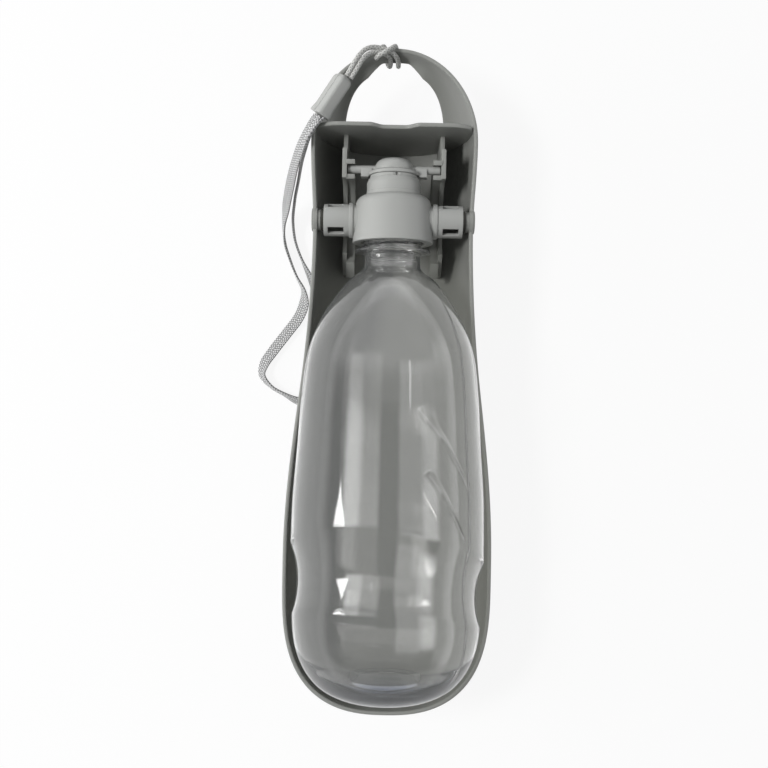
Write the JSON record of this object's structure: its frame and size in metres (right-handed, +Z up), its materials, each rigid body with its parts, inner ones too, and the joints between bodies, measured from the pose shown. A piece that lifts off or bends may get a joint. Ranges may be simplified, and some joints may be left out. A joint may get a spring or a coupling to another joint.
{
  "type": "dog travel water bottle",
  "caption": "Folding pet water bottle: a clear bottle swings out of a long drinking trough on two hubs and opens its own valve",
  "frame": {"origin": "middle of the flat back's plan, on the resting face", "axes": "+X to the right seen from the open side, +Y from the toe to the hand loop, +Z up out of the trough"},
  "size_m": [0.1097, 0.2977, 0.0872],
  "materials": {
    "trough": "fine matte moulding",
    "fitting": "satin moulding",
    "seal": "matte rubber",
    "bottle": "clear blown plastic",
    "strap": "heather woven strap",
    "connector": "satin moulding"
  },
  "bodies": {
    "base": {"trough": "trough", "pivot_pin_left": "trough", "pivot_pin_right": "trough", "pivot_washer_left": "seal", "pivot_washer_right": "seal", "strap_cord": "strap", "connector_front": "connector", "connector_back": "connector", "strap_webbing": "strap"},
    "spout": {"hub_sleeve_left": "fitting", "hub_sleeve_right": "fitting", "collar": "fitting", "collar_gasket": "seal", "nozzle_ring": "fitting", "valve_seat": "fitting", "seat_o_ring": "seal", "plug_seal": "seal"},
    "cap": {"valve_cap": "fitting"},
    "flask": {"bottle": "bottle", "bottle_neck": "bottle"}
  },
  "joints": [
    {"name": "bottle_fold", "type": "hinge", "parent": "base", "child": "spout", "pos_m": [0, 0.06995, 0.045], "axis": [-1, 0, 0], "range_deg": [0, 125]},
    {"name": "valve_lift", "type": "slide", "parent": "spout", "child": "cap", "axis": [0, 1, 0], "range_m": [0, 0.0035]},
    {"name": "bottle_unscrew", "type": "hinge", "parent": "spout", "child": "flask", "pos_m": [0, 0.06995, 0.045], "axis": [0, 1, 0], "range_deg": [0, 540]}
  ],
  "couplings": [
    {"joint": "valve_lift", "follows": "bottle_fold", "m_per_rad": 0.001604}
  ]
}
